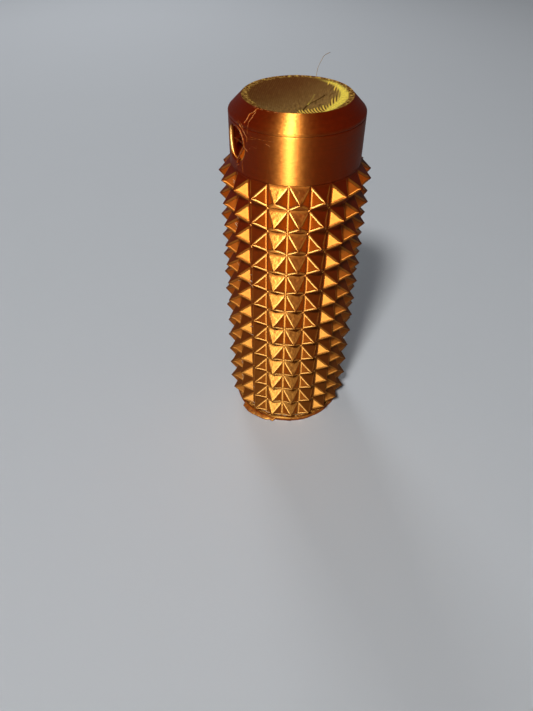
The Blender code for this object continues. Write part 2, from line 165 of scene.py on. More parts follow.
GRIP_HAIRS = [
    (0.07, [(-159.6, 94.7), (-160.6, 94.2), (-161.0, 93.5), (-161.8, 92.8), (-160.7, 92.2),
            (-161.2, 91.3), (-161.3, 90.5)]),
    (0.15, [(-160.5, 93.8), (-161.0, 93.5), (-161.3, 93.3)]),
    (0.07, [(-176.4, 91.8), (-171.7, 92.0), (-169.1, 91.4), (-166.5, 90.9), (-164.2, 90.2),
            (-162.0, 89.6), (-162.1, 88.4)]),
    (0.12, [(-170.6, 91.7), (-169.7, 91.5), (-168.8, 91.3)]),
    (0.06, [(-180.5, 88.0), (-172.6, 88.2), (-167.1, 87.8)]),
    (0.15, [(-178.0, 81.8), (-176.0, 82.0), (-174.1, 82.4)]),
    (0.07, [(-167.8, 84.3), (-168.7, 82.8), (-168.2, 81.7), (-167.8, 81.0)]),
    (0.05, [(-162.0, 89.3), (-157.6, 89.6), (-152.5, 89.8)]),
    (0.04, [(-160.0, 87.1), (-156.7, 88.0), (-151.7, 87.9)]),
    (0.10, [(-144.5, 89.3), (-143.3, 89.35), (-142.2, 89.35)]),
    (0.04, [(-142.2, 89.35), (-141.0, 89.2), (-139.7, 89.0)]),
    (0.05, [(-176.4, 91.8), (-172.5, 92.3), (-168.3, 92.1), (-165.9, 91.2)]),
    (0.04, [(-159.7, 90.0), (-150.6, 90.1), (-143.5, 90.1), (-136.0, 90.2)]),
]
# The strings' plastic: its name, and the two colours that mottle it
STRAND_PLASTIC = ("silk_copper_strand", "copper", "strand")
HAIR_PLASTIC = ("silk_copper_hair", "hair", "dish_rim")
# The wisp over the back rim, in millimetres, and its radius
WISP = np.array([
    (9.75, 8.4, 95.15), (11.7, 11.0, 96.3), (13.4, 12.55, 97.1), (15.9, 15.0, 97.6),
    (18.5, 16.3, 97.7),
]) / 1000
WISP_RADIUS = 0.00006
# Threads between the studs: how many, and the columns that they start from, in turn
THREAD_COUNT = 54
THREAD_COLUMNS = (9, 10, 10, 11, 9, 10)
# The first layer's height and how much thinner the brim scrap is, and the azimuths in degrees where
# the scrap starts, is whole, starts to end, and is gone
BEAD_HEIGHT = 0.00105
BRIM_THINNING = 0.00035
BRIM_ENDS = (-174, -170, -134, -130)

# The stage: the floor's reach, the point that the lamps look at, and the camera
FLOOR_REACH = 3.0
LAMP_TARGET = (0, 0, 0.05)
EYE = (-0.0642, -0.1124, 0.1365)
EYE_TURN = (radians(46.33), 0, radians(-26.6))
EYE_LENS = 27.30
EYE_SENSOR = 36.0


def vectors(items, name):
    """One vector of each item of a mesh, as rows of x, y and z."""
    values = np.empty(len(items) * 3, np.float32)
    items.foreach_get(name, values)
    return values.reshape(-1, 3)


def node_radius(node):
    """The largest distance of a packed node from the roller's axis."""
    points = vectors(frame["nodes"][node].data.vertices, "co").astype(float)
    return float(np.hypot(*points[:, :2].T).max())


def levels(node):
    """The lowest and the highest level of a packed node."""
    low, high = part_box(node)
    return low.z, high.z


def hole_level():
    """The level of the cross hole's axis: the middle of the opening that the record states."""
    opening = next(o for o in frame["record"]["physics"]["openings"] if o["name"] == "cross_hole")
    low, high = opening["box_m"]
    return (low[2] + high[2]) / 2


def cap_edge():
    """The level where the cap's upright band meets its chamfer."""
    return levels("grip_collar")[1] + SEAT_GAP + CAP_BAND


def stud_rows():
    """The level of the stud field's lower edge, and the distance between its rows."""
    bottom, top = levels("texture_sleeve")
    return bottom, (top - bottom) / ROW_COUNT


def length(name, description, default):
    """A length that a user can change."""
    return FloatProperty(name=name, description=description, default=default, unit="LENGTH", min=0)


def tint(name, description, default):
    """A colour that a user can change."""
    return FloatVectorProperty(
        name=name, description=description, default=default, subtype="COLOR", min=0, max=1
    )


class RollerSizes(bpy.types.PropertyGroup):
    """Sizes of the printed surfaces."""

    ridge_band: length("Ridge band", "Height of the rounded band on a stud's side faces", 0.00080)
    ridge_lap: length("Ridge lap", "Width of the rounded band on a stud's other faces", 0.00030)
    valley_rounding: length("Valley rounding", "Width of the hollow at the foot of a stud", 0.00030)
    tip_blunting: length("Tip blunting", "How far a stud's tip lies under its sharp point", 0.00006)
    stud_wander: length("Stud wander", "How far the print lets a stud's tip stray", 0.00005)
    edge_rounding: length("Edge rounding", "Rounding of the edges of collar and cap", 0.00022)
    layer_height: length("Layer height", "Height of one printed layer", 0.0002)
    comb_pitch: length("Comb pitch", "Distance between two strokes beside the crescent", 0.00068)
    line_width: length("Line width", "Spacing of the printed lines in the dish", 0.00045)
    hole_radius: length("Cross hole radius", "Radius of the hole across the collar", 0.00385)
    hole_lip: length("Hole lip", "Rounding of the cross hole's outer edge at its sides", 0.0006)
    dot_radius: length("Dot radius", "Radius of the blobs where grooves cross", 0.00032)
    bead_reach: length("First layer bead", "How far the first layer stands out", 0.00026)
    brim_reach: length("Brim scrap", "How far the scrap of brim stands out", 0.00115)
    dish_depth: length("Dish depth", "Depth of the dish under its rim", 0.0018)
    strand_scale: FloatProperty(
        name="Strand thickness", description="Thickness of the strings, against their usual one",
        default=1.0, min=0,
    )
    segments: IntProperty(
        name="Round segments", description="Divisions of the round pieces", default=240, min=48
    )


class RollerColours(bpy.types.PropertyGroup):
    """Colours of the plastic, the working parts and the floor."""

    copper: tint("Copper", "Silk copper plastic", (0.14, 0.006, 0.0003))
    deep_copper: tint("Deep copper", "The plastic in its darker streaks", (0.105, 0.004, 0.0002))
    # The wall's copper at the foot: more golden, painted light bounced up from the floor
    low_copper: tint("Foot copper", "The wall's plastic at the foot", (0.145, 0.034, 0.004))
    # The grooves' colour is a painted glow: the light that neighbouring studs' side faces throw at each other
    groove: tint("Grooves", "The plastic between the studs", (0.47, 0.074, 0.001))
    # The grooves at the foot: their painted glow, made more golden by painted light bounced up from the floor
    low_groove: tint("Foot grooves", "The grooves' plastic at the foot", (0.32, 0.076, 0.004))
    # Ridges are painted paler: a painted highlight along every ridge
    ridge: tint("Ridges", "The studs' ridges, a little paler than their faces", (0.46, 0.14, 0.010))
    # The hole's lip is painted pale: a painted highlight along the hole's sides
    lip: tint("Hole lip", "The pale edge of the cross hole", (0.50, 0.32, 0.12))
    # The walls inside the collar are painted far lighter than the copper: a painted glow of light through the thin
    # plastic
    inside: tint("Collar inside", "The walls inside the collar", (0.78, 0.15, 0.010))
    sheen: tint("Sheen", "Tint of the wall's highlights", (0.40, 0.145, 0.022))
    low_sheen: tint("Foot sheen", "Tint of the wall's highlights at the foot", (0.40, 0.19, 0.036))
    ridge_sheen: tint("Ridge sheen", "Tint of the ridges' highlights", (0.60, 0.32, 0.085))
    # The dish's brown and olive: olive where painted reflection lightens one side
    dish_brown: tint("Dish brown", "Dull brown of the dish on its left", (0.118, 0.040, 0.010))
    dish_olive: tint("Dish olive", "Olive brown of the dish on its right", (0.27, 0.150, 0.046))
    # The dark arc, and the painted shade in the comb's grooves
    dish_dark: tint("Dish grooves", "The scratch and the comb's grooves", (0.045, 0.016, 0.004))
    dish_line: tint("Dish lines", "The crests of the lines in the dish", (0.24, 0.135, 0.045))
    dish_rim: tint("Dish rim", "Gold brown of the dish's rim band", (0.46, 0.25, 0.055))
    # The comb's golden strokes and the crescent's yellow are painted highlight, and gold flecks on the rim painted
    # glints
    dish_stroke: tint("Dish strokes", "Golden strokes beside the crescent", (0.92, 0.60, 0.09))
    dish_gold: tint("Dish gold", "Bright yellow of the crescent", (1.0, 0.80, 0.11))
    strand: tint("Strands", "Orange of the strings and of the first layer", (0.34, 0.075, 0.003))
    hair: tint("Hair", "Greyish cream of the finest strings", (0.42, 0.37, 0.32))
    strand_sheen: tint("Strand sheen", "Tint of the strings' highlights", (0.5, 0.25, 0.08))
    layer_sheen: tint("First layer sheen", "Tint of its highlights", (0.20, 0.10, 0.02))
    core: tint("Core plastic", "Dark plastic of the drum", (0.035, 0.035, 0.038))
    core_layers: tint("Core layers", "The drum's plastic on its layer lines", (0.055, 0.055, 0.060))
    steel: tint("Steel", "Turned steel of the axle, pin, screws and washer", (0.56, 0.57, 0.58))
    bronze: tint("Bronze", "Sintered bronze of the bushes and thrust washer", (0.52, 0.34, 0.15))
    lathe_rings: tint("Lathe rings", "Darker rings on the turned metal", (0.2, 0.18, 0.16))
    floor: tint("Floor", "Pale floor under the roller", (0.60, 0.63, 0.67))
    floor_cloud: tint("Floor clouds", "Faint darker patches of the floor", (0.55, 0.57, 0.60))
    room: tint("Room", "Pale light from all sides", (0.93, 0.97, 1.0))


def roller_sizes():
    """The sizes that hold now."""
    return bpy.context.scene.roller_sizes


def colour(name):
    """One of the roller's colours with full alpha."""
    return (*getattr(bpy.context.scene.roller_colours, name), 1.0)


class Graph:
    """A material whose nodes are joined one by one. Its point is in the piece's own space."""

    def __init__(self, name):
        self.material = bpy.data.materials.new(name)
        self.material.use_nodes = True
        self.tree = self.material.node_tree
        self.point = self.add("TexCoord", {}, output="Object")

    def feed(self, socket, value):
        """Links a socket to an input, or sets the input's own value."""
        if isinstance(value, bpy.types.NodeSocket):
            self.tree.links.new(value, socket)
        else:
            socket.default_value = value

    def add(self, kind, inputs, output=0, **settings):
        """Adds a node with its settings and inputs, and returns one of its outputs."""
        node = self.tree.nodes.new("ShaderNode" + kind)
        for key, value in settings.items():
            setattr(node, key, value)
        for key, value in inputs.items():
            self.feed(node.inputs[key], value)
        return node.outputs[output]

    def finish(self, **values):
        """Sets the shader's own sockets, whose names have spaces for underscores."""
        shader = self.tree.nodes["Principled BSDF"]
        for key, value in values.items():
            self.feed(shader.inputs[key.replace("_", " ")], value)
        return self.material

    def noise(self, size, detail=2.0, point=None):
        """Noise from 0 to 1 whose features have the given size, for all axes or for each."""
        place = self.point if point is None else point
        scale = [1 / width for width in np.broadcast_to(size, 3)]
        place = self.add("Mapping", {"Vector": place, "Scale": scale})
        return self.add("TexNoise", {"Vector": place, "Scale": 1.0, "Detail": detail})

    def math(self, operation, *values):
        """One arithmetic step."""
        return self.add("Math", dict(enumerate(values)), operation=operation)

    def times(self, first, second):
        """The product of two numbers."""
        return self.math("MULTIPLY", first, second)

    def wave(self, turns):
        """A cosine from 0 to 1 that is highest at each whole turn."""
        return self.math("MULTIPLY_ADD", self.math("COSINE", self.times(turns, 2 * pi)), 0.5, 0.5)

    def spread(self, value, low, high, to_low=0.0, to_high=1.0):
        """A smooth step from one value at low to another at high."""
        inputs = dict(enumerate((value, low, high, to_low, to_high)))
        return self.add("MapRange", inputs, interpolation_type="SMOOTHSTEP")

    def blend(self, factor, first, second):
        """The first colour where the factor is 0, and the second where it is 1."""
        return self.add("Mix", {0: factor, 6: first, 7: second}, output=2, data_type="RGBA")

    def blend_value(self, factor, first, second):
        """The first number where the factor is 0, and the second where it is 1."""
        return self.add("Mix", {0: factor, 2: first, 3: second}, data_type="FLOAT")

    def bump(self, height, distance):
        """A normal from a height between 0 and 1, which stands for a distance."""
        return self.add("Bump", {"Height": height, "Distance": distance})

    def along(self, direction):
        """How far the point lies along a direction."""
        inputs = {0: self.point, 1: direction}
        return self.add("VectorMath", inputs, output="Value", operation="DOT_PRODUCT")

    def attribute(self, name):
        """A number that the mesh carries at each of its points."""
        return self.add("Attribute", {}, output="Fac", attribute_name=name)


@cache
def silk_wall():
    """Silk copper plastic in flat layers, redder at the top and more golden at the foot.

    Its highlights stretch up and down, across the layer lines. Faces that look up are dented in
    patches, and the others in layers. The tone at a point sets its colour and sheen.
    """
    graph = Graph("silk_copper_wall")
    streaks = graph.noise((0.012, 0.012, 0.00033), 3.0)
    patches = graph.noise((0.0009, 0.0009, 0.0012))
    dents = graph.noise((0.0011, 0.0011, 0.0009), 3.0)
    layers = graph.noise((0.0016, 0.0016, 0.00024))
    tone = graph.attribute("groove")
    # low grows towards the foot: painted light bounced up from the floor, which turns the copper, the grooves and the
    # highlights' tint more golden
    low = graph.spread(graph.along((0, 0, 1)), FLOOR_LIGHT_FROM, 0.0)
    normal = graph.add("NewGeometry", {}, output="Normal")
    facing = graph.add("SeparateXYZ", {0: normal}, output="Z")
    upward = graph.spread(facing, 0.2, 0.42)
    upward = graph.times(upward, graph.spread(facing, 0.5, 0.68, 1.0, 0.25))
    mottle = graph.spread(graph.math("ADD", streaks, patches), 0.65, 1.35)
    shade = graph.blend(mottle, colour("deep_copper"), colour("copper"))
    # the copper at the foot: painted floor light
    shade = graph.blend(low, shade, colour("low_copper"))
    # the studs' side faces: a painted glow of light thrown between neighbouring studs, more golden at the foot
    groove = graph.spread(tone, PLAIN_TONE, GROOVE_GLOW_TONE)
    groove = graph.times(groove, graph.spread(patches, 0.2, 0.8, 0.75, 1.0))
    shade = graph.blend(groove, shade, graph.blend(low, colour("groove"), colour("low_groove")))
    # ridges, and a little of it on the dots: painted highlight
    shade = graph.blend(graph.spread(tone, PLAIN_TONE, RIDGE_HIGHLIGHT_TONE), shade, colour("ridge"))
    # the hole's lip: painted highlight
    shade = graph.blend(graph.spread(tone, RIDGE_HIGHLIGHT_TONE, LIP_HIGHLIGHT_TONE), shade, colour("lip"))
    # inside the collar: painted glow
    shade = graph.blend(graph.spread(tone, GROOVE_GLOW_TONE, INSIDE_GLOW_TONE), shade, colour("inside"))
    sheen = graph.blend(low, colour("sheen"), colour("low_sheen"))
    sheen = graph.blend(graph.spread(tone, PLAIN_TONE, -0.4), sheen, colour("ridge_sheen"))
    return graph.finish(
        Base_Color=shade,
        Roughness=graph.spread(patches, 0.2, 0.8, 0.46, 0.52),
        IOR=2.8,
        Anisotropic=0.95,
        Tangent=graph.add("CombineXYZ", {"Z": 1.0}),
        Specular_Tint=sheen,
        Normal=graph.bump(
            graph.blend_value(upward, layers, dents), graph.blend_value(upward, 0.00004, 0.00008)
        ),
    )


def silk_dish():
    """The dish: dull brown printed lines that turn olive to one side, and the dish's marks.

    The lines are a cosine of the distance from a far point, so they bow. Beside the crescent they
    are a comb of its own pitch: each crest is a bright stroke of its own length, and each groove
    between two is dark. It has no clear reflection, because its lines scatter all the light.
    """
    graph = Graph("silk_copper_dish")
    sizes = roller_sizes()
    crescent, comb, rim, dark_arc = (graph.attribute(name) for name in DISH_MARKS)
    flat = graph.add("VectorMath", {0: graph.point, 1: (1, 1, 0)}, operation="MULTIPLY")
    ends = {0: flat, 1: (*LINE_CENTRE, 0)}
    away = graph.add("VectorMath", ends, output="Value", operation="DISTANCE")
    line = graph.wave(graph.math("DIVIDE", away, sizes.line_width))
    turn = graph.math("DIVIDE", away, sizes.comb_pitch)
    tooth = graph.wave(turn)
    number = graph.math("FLOOR", graph.math("ADD", turn, 0.5))
    chance = graph.add("TexWhiteNoise", {"W": number}, noise_dimensions="1D")
    place = graph.add("CombineXYZ", {0: away, 1: graph.along(STROKE_WAY)})
    strokes = graph.noise((0.0005, 0.0022, 1.0), point=place)
    grain, flecks, clouds = (graph.noise(size, 3.0) for size in (0.0005, 0.0006, 0.004))

    # the lines, from brown to olive: the olive side is painted reflection, and crests and strokes
    # show most there
    side = graph.math("MULTIPLY_ADD", clouds, 0.006, graph.along(OLIVE_WAY))
    side = graph.spread(side, -0.007, 0.0125)
    tone = graph.blend(side, colour("dish_brown"), colour("dish_olive"))
    crests = graph.times(line, graph.spread(side, 0.0, 1.0, 0.12, 0.5))
    tone = graph.blend(crests, tone, colour("dish_line"))
    pale = graph.times(graph.spread(strokes, 0.5, 0.72), graph.spread(side, 0.2, 1.0, 0.08, 0.5))
    tone = graph.blend(pale, tone, colour("dish_rim"))
    deep = graph.times(graph.spread(strokes, 0.48, 0.3), graph.spread(side, 0.2, 1.0, 0.1, 0.55))
    tone = graph.blend(deep, tone, colour("dish_dark"))

    # the rim with painted glints of gold, the comb with a painted highlight on each crest and painted
    # shade in each groove, the dark arc, and the crescent's painted highlight
    band = graph.blend(graph.spread(flecks, 0.40, 0.62), colour("dish_brown"), colour("dish_rim"))
    band = graph.blend(graph.spread(flecks, 0.58, 0.68, 0.0, 0.4), band, colour("dish_gold"))
    tone = graph.blend(rim, tone, band)
    reach = graph.times(comb, graph.spread(chance, 0.0, 1.0, 0.45, 1.7))
    # each comb crest gets a painted highlight, and each groove between two a painted shade
    crest_highlight = graph.times(graph.spread(reach, 0.15, 0.6), graph.spread(tooth, 0.25, 0.7, 0.0, 0.95))
    groove = graph.times(graph.spread(reach, 0.1, 0.5), graph.spread(tooth, 0.1, 0.45, 0.65, 0.0))
    groove = graph.times(groove, graph.spread(crescent, 0.0, 0.6, 1.0, 0.0))
    dark = graph.math("MAXIMUM", graph.times(dark_arc, 0.9), groove)
    tone = graph.blend(dark, tone, colour("dish_dark"))
    tone = graph.blend(crest_highlight, tone, colour("dish_stroke"))
    # the crescent: painted highlight, dulled in grains
    dull = graph.spread(grain, 0.4, 0.7, 0.0, 0.5)
    crescent_highlight = graph.blend(dull, colour("dish_gold"), colour("dish_rim"))
    return graph.finish(
        Base_Color=graph.blend(crescent, tone, crescent_highlight),
        Roughness=0.62,
        Specular_IOR_Level=0.0,
        Normal=graph.bump(grain, 0.00003),
    )


@cache
def string_copper(name, thick, thin):
    """Pulled strings of the same plastic, mottled between two colours."""
    graph = Graph(name)
    grain = graph.noise(0.0008)
    return graph.finish(
        Base_Color=graph.blend(graph.spread(grain, 0.35, 0.65), colour(thick), colour(thin)),
        Roughness=0.5,
        IOR=1.5,
        Specular_Tint=colour("strand_sheen"),
    )


def first_layer_copper():
    """The first layer, squashed on the plate: rough, patchy, and shiny in all directions alike."""
    graph = Graph("silk_copper_first_layer")
    patches = graph.noise((0.0014, 0.0014, 0.0006), 3.0)
    dents = graph.noise((0.0006, 0.0006, 0.0003))
    patches = graph.spread(patches, 0.35, 0.65)
    return graph.finish(
        Base_Color=graph.blend(patches, colour("copper"), colour("strand")),
        Roughness=graph.spread(dents, 0.3, 0.7, 0.45, 0.60),
        IOR=2.8,
        Specular_Tint=colour("layer_sheen"),
        Normal=graph.bump(dents, 0.00008),
    )


def core_plastic():
    """Plain dark printed plastic with faint layers."""
    graph = Graph("core_plastic")
    layers = graph.noise((0.01, 0.01, 0.0004))
    shade = graph.blend(layers, colour("core"), colour("core_layers"))
    return graph.finish(Base_Color=shade, Roughness=0.58, Normal=graph.bump(layers, 0.00004))


def turned_metal(name, colour_name, roughness):
    """Metal with fine rings from the lathe round the axis."""
    graph = Graph(name)
    rings = graph.noise((0.002, 0.002, 0.00012))
    dull = graph.spread(rings, 0.3, 0.7, 0.0, 0.25)
    return graph.finish(
        Base_Color=graph.blend(dull, colour(colour_name), colour("lathe_rings")),
        Metallic=1.0,
        Roughness=graph.spread(rings, 0.2, 0.8, roughness - 0.06, roughness + 0.08),
        Normal=graph.bump(rings, 0.00001),
    )


class Shell:
    """A surface gathered from grids of points, whose shared edges are welded at the end."""

    def __init__(self):
        self.points = []
        self.normals = []
        self.tones = []
        self.faces = []
        self.count = 0

    def grid(self, points, wrap=False, normals=None, tones=PLAIN_TONE):
        """Adds quads between the neighbours of a grid of points, or of a stack of grids.

        With wrap, the last column joins the first. Where normals are given, the piece is shaded by
        them. The tones are numbers that the material reads.
        """
        total = points[..., 0].size
        self.normals.append(np.zeros((total, 3)) if normals is None else normals.reshape(-1, 3))
        self.tones.append(np.broadcast_to(tones, points.shape[:-1]).reshape(-1))
        index = self.count + np.arange(total).reshape(points.shape[:-1])
        if wrap:
            index = np.concatenate([index, index[..., :1]], axis=-1)
        low, high = index[..., :-1, :], index[..., 1:, :]
        quads = np.stack([low[..., :-1], low[..., 1:], high[..., 1:], high[..., :-1]], axis=-1)
        self.points.append(points.reshape(-1, 3))
        self.faces.append(quads.reshape(-1, 4))
        self.count += total

    def piece(self, name, material, body):
        """Welds the grids into one closed mesh with its faces outwards, and hangs it on a body."""
        mesh = bpy.data.meshes.new(name)
        points, faces = (np.concatenate(parts).tolist() for parts in (self.points, self.faces))
        mesh.from_pydata(points, [], faces)
        aim = mesh.attributes.new("aim", "FLOAT_VECTOR", "POINT")
        aim.data.foreach_set("vector", np.concatenate(self.normals).astype(np.float32).ravel())
        mark(mesh, "groove", np.concatenate(self.tones))
        shape = bmesh.new()
        shape.from_mesh(mesh)
        bmesh.ops.remove_doubles(shape, verts=shape.verts, dist=WELD_DISTANCE)
        bmesh.ops.recalc_face_normals(shape, faces=shape.faces)
        loose = sum(not edge.is_manifold for edge in shape.edges)
        shape.to_mesh(mesh)
        shape.free()
        if loose:
            raise RuntimeError(f"{name} has {loose} edges that aren't shared by two faces")
        mesh.shade_smooth()
        aims = vectors(mesh.attributes["aim"].data, "vector")
        mesh.attributes.remove(mesh.attributes["aim"])
        if aims.any():
            mesh.normals_split_custom_set_from_vertices(aims.tolist())
        mesh.materials.append(material)
        obj = bpy.data.objects.new(name, mesh)
        bpy.context.scene.collection.objects.link(obj)
        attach(obj, body)
        return obj


def mark(mesh, name, values):
    """Stores a number at each of a mesh's points."""
    attribute = mesh.attributes.new(name, "FLOAT", "POINT")
    attribute.data.foreach_set("value", values.astype(np.float32))


def on_wall(radius, angle, level):
    """Points on a round wall from angle and level."""
    return np.stack([radius * np.cos(angle), radius * np.sin(angle), level], axis=-1)


def outward(angle):
    """The directions away from the axis at some angles."""
    return on_wall(1.0, angle, np.zeros(len(angle)))


def round_grid(profile, angles):
    """Points of a profile of radius and level carried round the axis, one column for each angle."""
    radius, level = np.asarray(profile, float).T[..., None]
    return on_wall(radius, angles, np.broadcast_to(level, (len(level), len(angles))))


def rounded_profile(points, size):
    """A profile whose inner corners are all bent by one size.

    A bend starts and ends at that distance from its corner, and is the curve of second degree whose
    middle control point is the corner.
    """
    points = np.asarray(points, float)
    t = np.linspace(0, 1, 4)[:, None]
    parts = [points[:1]]
    for before, corner, after in zip(points, points[1:], points[2:]):
        start = corner + size * (before - corner) / np.linalg.norm(before - corner)
        end = corner + size * (after - corner) / np.linalg.norm(after - corner)
        parts.append((1 - t) ** 2 * start + 2 * t * (1 - t) * corner + t**2 * end)
    return np.concatenate([*parts, points[-1:]])


def full_circle(count):
    """Evenly spaced angles round the axis."""
    return np.arange(count) * 2 * pi / count


def smooth(value, low, high):
    """A smooth step of an array from 0 at low to 1 at high."""
    share = np.clip((value - low) / (high - low), 0, 1)
    return share * share * (3 - 2 * share)


def leaning(angle):
    """A direction that leans from a stud's outward one to its side by an angle."""
    return np.array([sin(angle), cos(angle), 0])


def carried_round(points, angle):
    """Points or directions of the studs' own frames, turned about the axis to their columns."""
    x, y, z = np.moveaxis(points, -1, 0)
    c, s = np.cos(angle), np.sin(angle)
    return np.stack([y * c - x * s, y * s + x * c, z], axis=-1)


def stud_points(root, height, pitch, tips):
    """Rings of points round each stud, from its cell's edge up to its tip, their normals and tones.

    In the stud's own frame x runs round the barrel, y outwards and z up. A ring is a rectangle
    whose half sides shrink in step with its height, so the faces between two rings are flat. At
    each corner it has five points: where the side face's flat part ends, two in the ridge's band on
    the side face, the ridge, and where the upper or lower face's flat part starts.
    """
    sizes = roller_sizes()
    cell = np.array([root * sin(COLUMN_STEP / 2), pitch / 2])
    half_stud = (COLUMN_STEP - COLUMN_STRIP / root) / 2
    foot = np.array([root * sin(half_stud), (pitch - ROW_STRIP) / 2])
    ground = root * cos(half_stud)
    rise = height + root - ground
    lap = sizes.ridge_lap
    drops = sizes.ridge_band * np.array([1.15, 0.93, 0.66])
    fillet = sizes.valley_rounding / foot[0]
    near_tip = 1 - 1.05 * drops[0] / foot[1]
    # Each ring: its half sides, its distance from the axis, its share of the ridge's full band, and
    # how far the band is pulled round the corner
    rings = [
        (cell, root * cos(COLUMN_STEP / 2), 1.0, 0),
        (foot + 0.4 * (cell - foot), ground, 1.0, 0),
        (foot * (1 - 0.25 * fillet), ground + 0.06 * fillet * rise, 1.0, 0.06),
        (foot * (1 - 0.6 * fillet), ground + 0.42 * fillet * rise, 1.0, 0.12),
        (foot * (1 - fillet), ground + fillet * rise, 1.0, 0.18),
        (foot * (1 - near_tip), ground + near_tip * rise, 1.0, 0.18),
        (foot * 0.08, ground + 0.92 * rise - 0.8 * sizes.tip_blunting, 0.3, 0.1),
        (foot * 0.0, ground + rise - sizes.tip_blunting, 0.0, 0),
    ]
    signs = np.array([[1, 1], [-1, 1], [-1, -1], [1, -1]], float)
    # the points at a corner run towards the next one, so every second corner lists them backwards
    orders = [slice(None), slice(None, None, -1)] * 2
    shape = np.empty((len(rings), 20, 3))
    for number, (half, reach, share, pull) in enumerate(rings):
        points = []
        for sign, order in zip(signs, orders):
            corner = sign * half
            band = [corner - sign * (0, drop * share) for drop in drops]
            five = [*band, corner - sign * pull * lap * share, corner - sign * (lap * share, 0)]
            points += five[order]
        flat = np.array(points)
        shape[number] = np.column_stack([flat[:, 0], np.full(20, reach), flat[:, 1]])
    share = np.clip((shape[:, :1, 1] - ground) / rise, 0, 1)

    # Each layer's outline turns evenly round a ridge, so the light does too: from the side face's
    # own normal to the stud's outward direction on the ridge, and on to the upper or lower face's.
    # Under a stud the outline first bulges, where the plastic hung over. The upper and lower faces
    # are steps of upright layers, so they shine as if they were steeper than they are.
    straight = leaning(0)
    side, band, ridge = leaning(SIDE_TURN), leaning(BAND_TURN), leaning(RIDGE_TURN)
    valley, blob = leaning(COLUMN_STEP / 2), leaning(CORNER_TURN)
    slope = np.array([cos(TOP_LIFT) * sin(TOP_SKEW), cos(TOP_LIFT) * cos(TOP_SKEW), sin(TOP_LIFT)])
    faces, edge, flat = [], [], []
    for sign, order in zip(signs, orders):
        mirror = np.array([sign[0], 1, 1])
        over = leaning(BEAD_TURN) if sign[1] < 0 else side
        five = [way * mirror for way in (side, over, band, ridge)] + [slope * (1, 1, sign[1])]
        faces += five[order]
        edge += ([valley * mirror] * 4 + [straight])[order]
        flat += ([valley * mirror] * 2 + [blob * mirror] * 2 + [straight])[order]
    # side faces take the grooves' painted glow, and ridges the painted highlight
    tones = np.outer((0, 0.1, 0.4, 0.8, 1, 1, 0.2, 0), (CORNER_TONES + CORNER_TONES[::-1]) * 2)
    turn = np.array([0, 0.14, 0.4, 0.7, 1, 1, 1, 1])[:, None, None]
    normals = (1 - turn) * np.array(flat) + turn * np.array(faces)
    normals[0] = edge
    normals[-1] = straight
    normals /= np.linalg.norm(normals, axis=-1, keepdims=True)
    return shape + share[..., None] * tips[:, None, None, :], normals, tones


def studded_skin():
    """The studded sleeve: columns of pyramids, turned into place, closed by ends and bore."""
    sizes = roller_sizes()
    root = node_radius("grip_collar")
    bottom, pitch = stud_rows()
    top = levels("texture_sleeve")[1]
    random = np.random.default_rng(12)
    tips = random.normal(0, sizes.stud_wander, (COLUMN_COUNT * ROW_COUNT, 3))
    studs, normals, tones = stud_points(root, node_radius("texture_sleeve") - root, pitch, tips)
    column, row = np.divmod(np.arange(COLUMN_COUNT * ROW_COUNT), ROW_COUNT)
    angle = (COLUMN_PHASE + column * COLUMN_STEP)[:, None, None]
    studs[..., 2] += (bottom + (row + 0.5) * pitch)[:, None, None]
    aims = carried_round(np.broadcast_to(normals, studs.shape), angle)
    shell = Shell()
    shell.grid(carried_round(studs, angle), wrap=True, normals=aims, tones=tones)

    # the ends and the bore: the cells' outline, drawn in to the neck and the bore
    half = root * sin(COLUMN_STEP / 2)
    edge = np.zeros((3, 3))
    edge[:, 0] = -half, -half + sizes.ridge_lap, half - sizes.ridge_lap
    edge[:, 1] = root * cos(COLUMN_STEP / 2)
    spokes = (COLUMN_PHASE + np.arange(COLUMN_COUNT) * COLUMN_STEP)[:, None]
    edge = carried_round(np.broadcast_to(edge, (COLUMN_COUNT, 3, 3)), spokes).reshape(-1, 3)
    direction = edge / np.linalg.norm(edge, axis=1)[:, None]
    bore = node_radius("core_drum") + SEAT_GAP
    neck = bore - SLEEVE_LEDGE
    ledge = levels("core_drum")[1] + SEAT_GAP
    rows = [edge + (0, 0, top)]
    for radius, level in ((neck, top), (neck, ledge), (bore, ledge), (bore, bottom)):
        rows.append(direction * radius + (0, 0, level))
    rows.append(edge + (0, 0, bottom))
    shell.grid(np.array(rows), wrap=True)
    obj = shell.piece("studded_skin", silk_wall(), "barrel")
    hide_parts("texture_sleeve")


def groove_dots():
    """Small blobs where the grooves between the studs cross: the nozzle turns there in every layer.

    Each is an ellipsoid that is wider round the barrel than it stands out, half sunk in the skin.
    """
    radius = roller_sizes().dot_radius
    bottom, pitch = stud_rows()
    column, row = np.divmod(np.arange(COLUMN_COUNT * (ROW_COUNT - 1)), ROW_COUNT - 1)
    azimuth = COLUMN_PHASE + (column + 0.5) * COLUMN_STEP
    root = node_radius("grip_collar")
    centre = on_wall(root - 0.15 * radius, azimuth, bottom + (row + 1) * pitch)
    random = np.random.default_rng(31)
    size = radius * random.uniform(0.8, 1.15, len(centre))
    polar, turn = np.meshgrid(np.linspace(0, pi, 9), full_circle(12), indexing="ij")
    out, round_barrel = 0.65 * np.sin(polar) * np.cos(turn), 1.3 * np.sin(polar) * np.sin(turn)
    away, east = np.exp(1j * azimuth), 1j * np.exp(1j * azimuth)
    flat = away[:, None, None] * out + east[:, None, None] * round_barrel
    ball = np.stack([flat.real, flat.imag, np.broadcast_to(np.cos(polar), flat.shape)], axis=-1)
    shell = Shell()
    # the dots take a little of the ridges' painted highlight
    shell.grid(centre[:, None, None] + size[:, None, None, None] * ball, wrap=True, tones=DOT_HIGHLIGHT_TONE)
    shell.piece("groove_dots", silk_wall(), "barrel")


